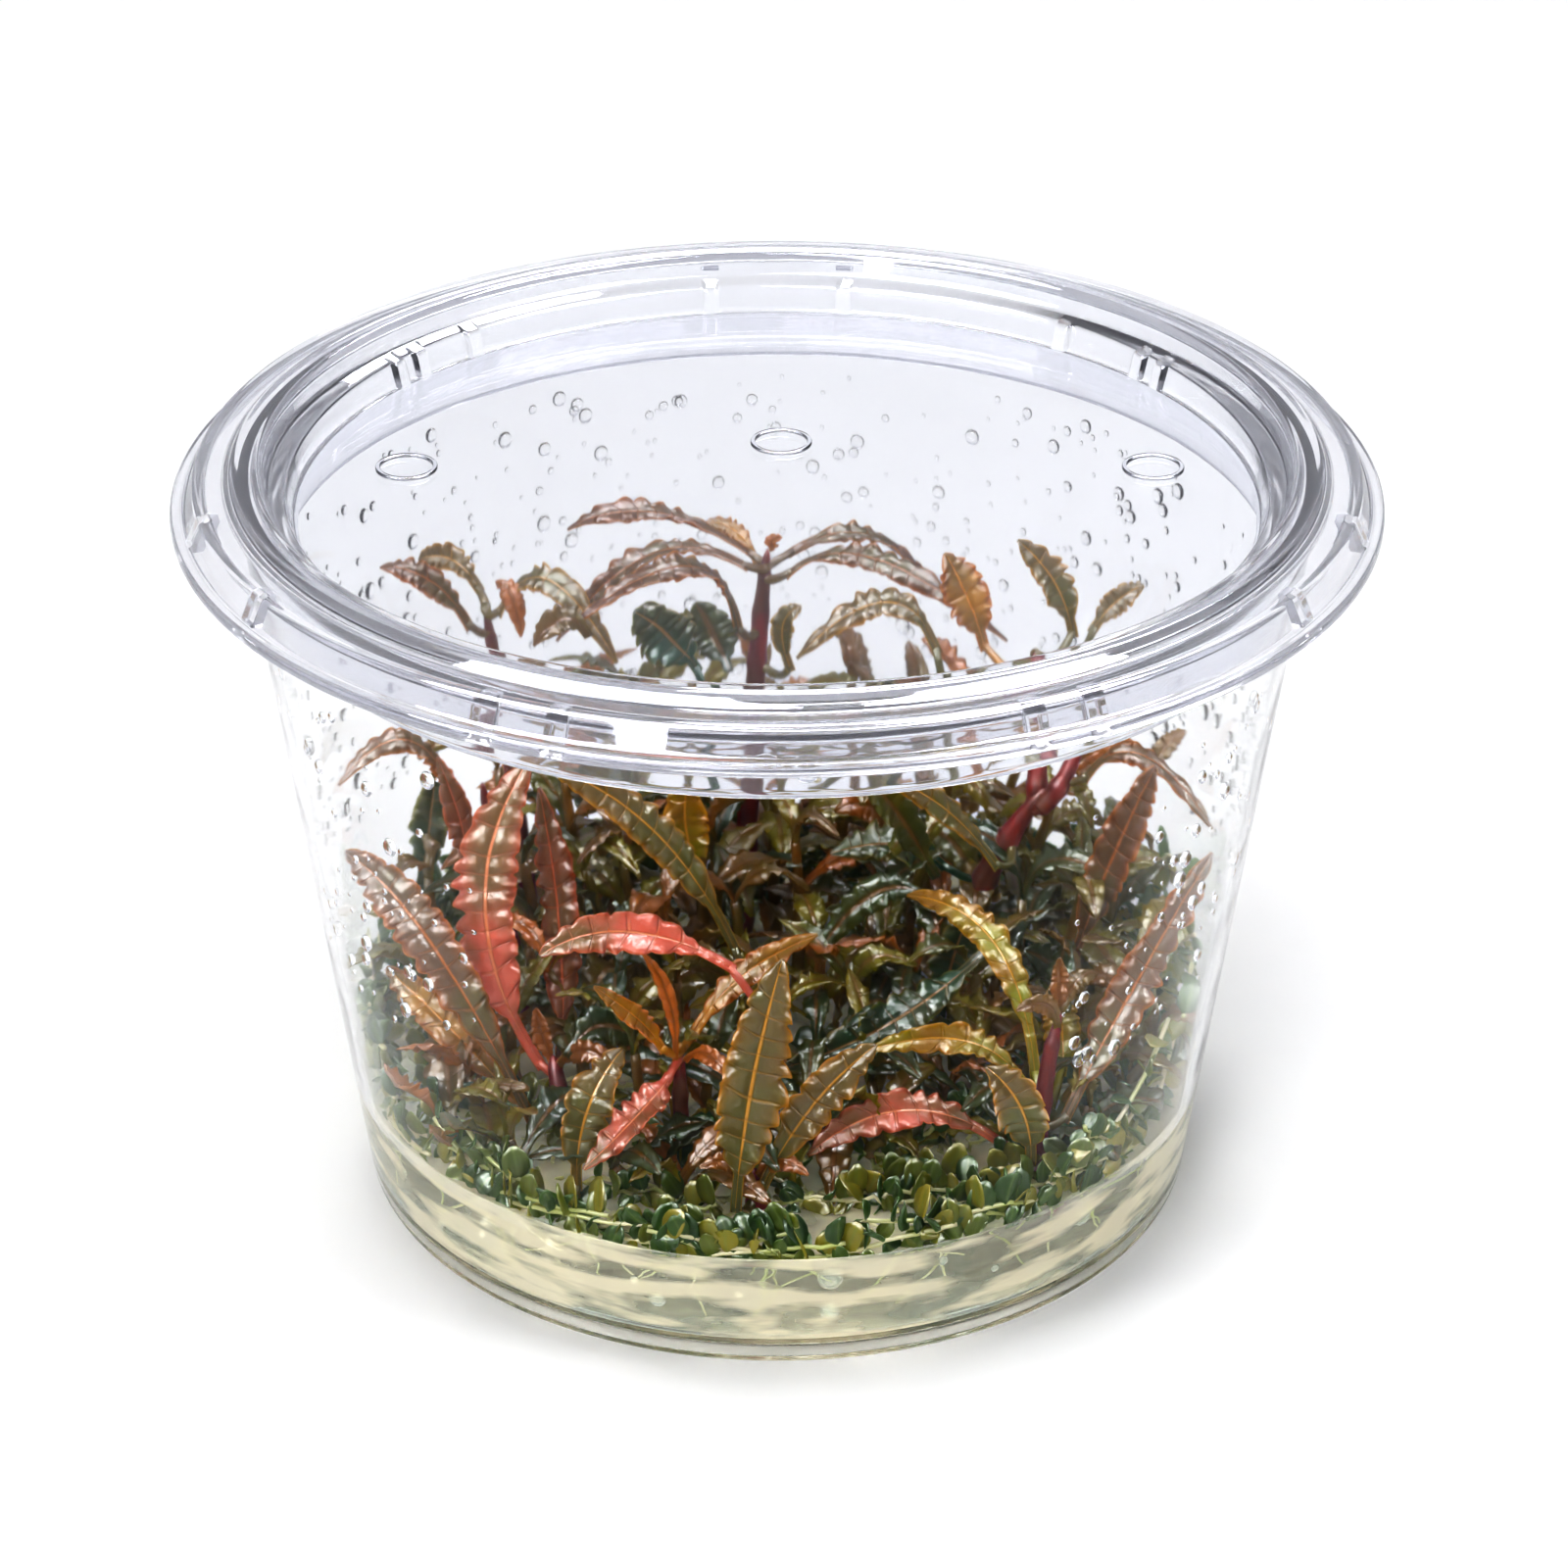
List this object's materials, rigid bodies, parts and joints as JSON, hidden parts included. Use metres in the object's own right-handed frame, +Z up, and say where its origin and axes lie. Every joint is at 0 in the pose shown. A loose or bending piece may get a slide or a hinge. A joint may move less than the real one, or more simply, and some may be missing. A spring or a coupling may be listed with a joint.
{
  "type": "hygrophila pinnatifida in lidded culture cup",
  "caption": "Tuft of narrow wavy-edged aquarium plant leaves on red stems, rooted in a disc of culture gel inside a round clear plastic cup with a clear plug lid.",
  "frame": {"origin": "centre of the cup's foot, on the surface that it stands on", "axes": "+Z up through the middle of the lid, -Y towards the front of the tuft, +X to its right"},
  "size_m": [0.118, 0.118, 0.0785],
  "materials": {
    "cup_plastic": "clear, glossy",
    "lid_plastic": "clear, glossy",
    "gel": "clear, wet",
    "stem": "smooth, moist",
    "leaf_brown": "glossy leaf",
    "leaf_olive": "glossy leaf",
    "leaf_dark": "glossy leaf",
    "leaf_green": "glossy leaf",
    "leaf_orange": "glossy leaf",
    "leaf_pink": "glossy leaf",
    "leaf_red": "glossy leaf",
    "inner_foliage": "glossy leaf",
    "carpet": "glossy leaf"
  },
  "bodies": {
    "root": {"cup": "cup_plastic", "lid": "lid_plastic", "gel": "gel", "back_stem": "stem", "back_left_stem": "stem", "left_stem": "stem", "front_left_stem": "stem", "centre_stem": "stem", "front_stem": "stem", "right_front_stem": "stem", "right_stem": "stem", "right_branch_1": "stem", "right_branch_2": "stem", "back_leaf_1": "leaf_brown", "back_leaf_2": "leaf_brown", "back_leaf_3": "leaf_brown", "back_leaf_4": "leaf_brown", "back_leaf_5": "leaf_brown", "back_leaf_6": "leaf_olive", "back_leaf_7": "leaf_orange", "back_leaf_8": "leaf_olive", "back_leaf_9": "leaf_dark", "back_left_leaf_1": "leaf_brown", "back_left_leaf_2": "leaf_olive", "back_left_leaf_3": "leaf_olive", "back_right_leaf_1": "leaf_orange", "back_right_leaf_2": "leaf_olive", "back_right_leaf_3": "leaf_olive", "left_leaf_1": "leaf_brown", "left_leaf_2": "leaf_dark", "left_leaf_3": "leaf_red", "left_leaf_4": "leaf_pink", "left_leaf_5": "leaf_red", "left_leaf_6": "leaf_brown", "left_leaf_7": "leaf_orange", "left_leaf_8": "leaf_olive", "left_leaf_9": "leaf_green", "front_leaf_1": "leaf_pink", "front_leaf_2": "leaf_orange", "front_leaf_3": "leaf_orange", "front_leaf_4": "leaf_pink", "front_leaf_5": "leaf_olive", "front_leaf_6": "leaf_olive", "front_leaf_7": "leaf_olive", "front_leaf_8": "leaf_pink", "front_leaf_9": "leaf_olive", "front_leaf_10": "leaf_dark", "front_leaf_11": "leaf_green", "front_leaf_12": "leaf_green", "right_leaf_1": "leaf_brown", "right_leaf_2": "leaf_dark", "right_leaf_3": "leaf_brown", "right_leaf_4": "leaf_brown", "right_leaf_5": "leaf_olive", "right_leaf_6": "leaf_green", "middle_leaf_1": "leaf_dark", "middle_leaf_2": "leaf_dark", "inner_foliage": "inner_foliage", "carpet": "carpet"}
  },
  "joints": []
}
